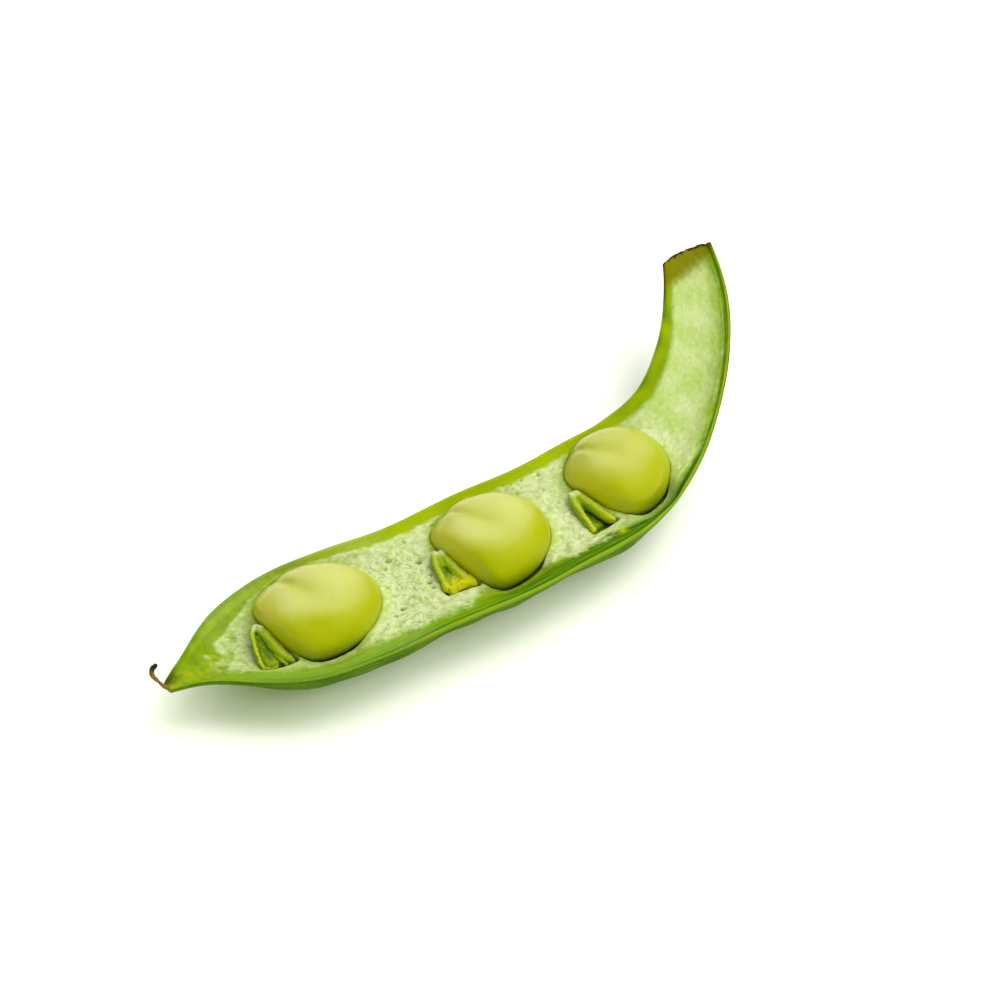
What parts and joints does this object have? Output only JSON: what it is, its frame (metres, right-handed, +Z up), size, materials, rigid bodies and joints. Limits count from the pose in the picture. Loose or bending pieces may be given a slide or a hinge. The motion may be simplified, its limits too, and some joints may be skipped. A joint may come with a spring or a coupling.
{
  "type": "broad bean pod",
  "caption": "Half of a split broad bean pod lying open side up, with its seeds in their pockets on their seed stalks, a dried style on the beak and a torn stalk end.",
  "frame": {"origin": "on the ground under the middle of the pod's footprint", "axes": "+X from the pointed beak to the torn stalk end, +Y to the back rim, -Y to the front rim that the seeds hang from, +Z up out of the open side"},
  "size_m": [0.1218, 0.0358, 0.0207],
  "materials": {
    "pod_wall": "fresh green pod skin, satin, with a pale woolly lining inside",
    "bean_skin": "smooth waxy seed coat, pale yellow green",
    "seed_stalk": "moist fleshy stalk, yellow green with a pale tip",
    "dried_style": "dried brown plant tissue, dull"
  },
  "bodies": {
    "root": {"pod_valve": "pod_wall", "dried_style": "dried_style", "bean_1": "bean_skin", "bean_2": "bean_skin", "bean_3": "bean_skin", "funicle_1": "seed_stalk", "funicle_2": "seed_stalk", "funicle_3": "seed_stalk"}
  },
  "joints": []
}
